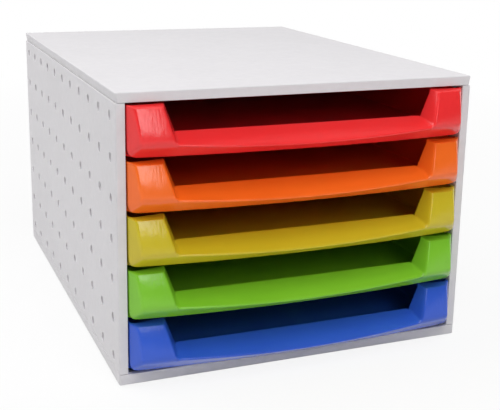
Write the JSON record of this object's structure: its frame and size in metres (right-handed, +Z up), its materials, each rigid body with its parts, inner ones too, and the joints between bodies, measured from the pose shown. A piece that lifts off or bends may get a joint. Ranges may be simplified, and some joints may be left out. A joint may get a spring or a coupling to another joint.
{
  "type": "desktop drawer unit",
  "caption": "Light grey plastic desktop case with open-fronted plastic drawers in bright colours that slide out on moulded runners, for sorting papers.",
  "frame": {"origin": "on the surface that the feet stand on, under the middle of the closed unit's box", "axes": "+X to the right seen from the front, +Y to the back, +Z up; the drawers slide out along -Y"},
  "size_m": [0.284, 0.387, 0.218],
  "materials": {
    "grey_plastic": "satin",
    "red_plastic": "gloss",
    "orange_plastic": "gloss",
    "yellow_plastic": "gloss",
    "green_plastic": "gloss",
    "blue_plastic": "gloss",
    "rubber": "matte"
  },
  "bodies": {
    "case": {"top_panel": "grey_plastic", "base_panel": "grey_plastic", "left_side_panel": "grey_plastic", "right_side_panel": "grey_plastic", "back_panel": "grey_plastic", "front_left_foot": "rubber", "front_right_foot": "rubber", "rear_left_foot": "rubber", "rear_right_foot": "rubber"},
    "red_drawer": {"red_drawer": "red_plastic"},
    "orange_drawer": {"orange_drawer": "orange_plastic"},
    "yellow_drawer": {"yellow_drawer": "yellow_plastic"},
    "green_drawer": {"green_drawer": "green_plastic"},
    "blue_drawer": {"blue_drawer": "blue_plastic"}
  },
  "joints": [
    {"name": "red_drawer_slide", "type": "slide", "parent": "case", "child": "red_drawer", "axis": [0, -1, 0], "range_m": [0, 0.25]},
    {"name": "orange_drawer_slide", "type": "slide", "parent": "case", "child": "orange_drawer", "axis": [0, -1, 0], "range_m": [0, 0.25]},
    {"name": "yellow_drawer_slide", "type": "slide", "parent": "case", "child": "yellow_drawer", "axis": [0, -1, 0], "range_m": [0, 0.25]},
    {"name": "green_drawer_slide", "type": "slide", "parent": "case", "child": "green_drawer", "axis": [0, -1, 0], "range_m": [0, 0.25]},
    {"name": "blue_drawer_slide", "type": "slide", "parent": "case", "child": "blue_drawer", "axis": [0, -1, 0], "range_m": [0, 0.25]}
  ]
}
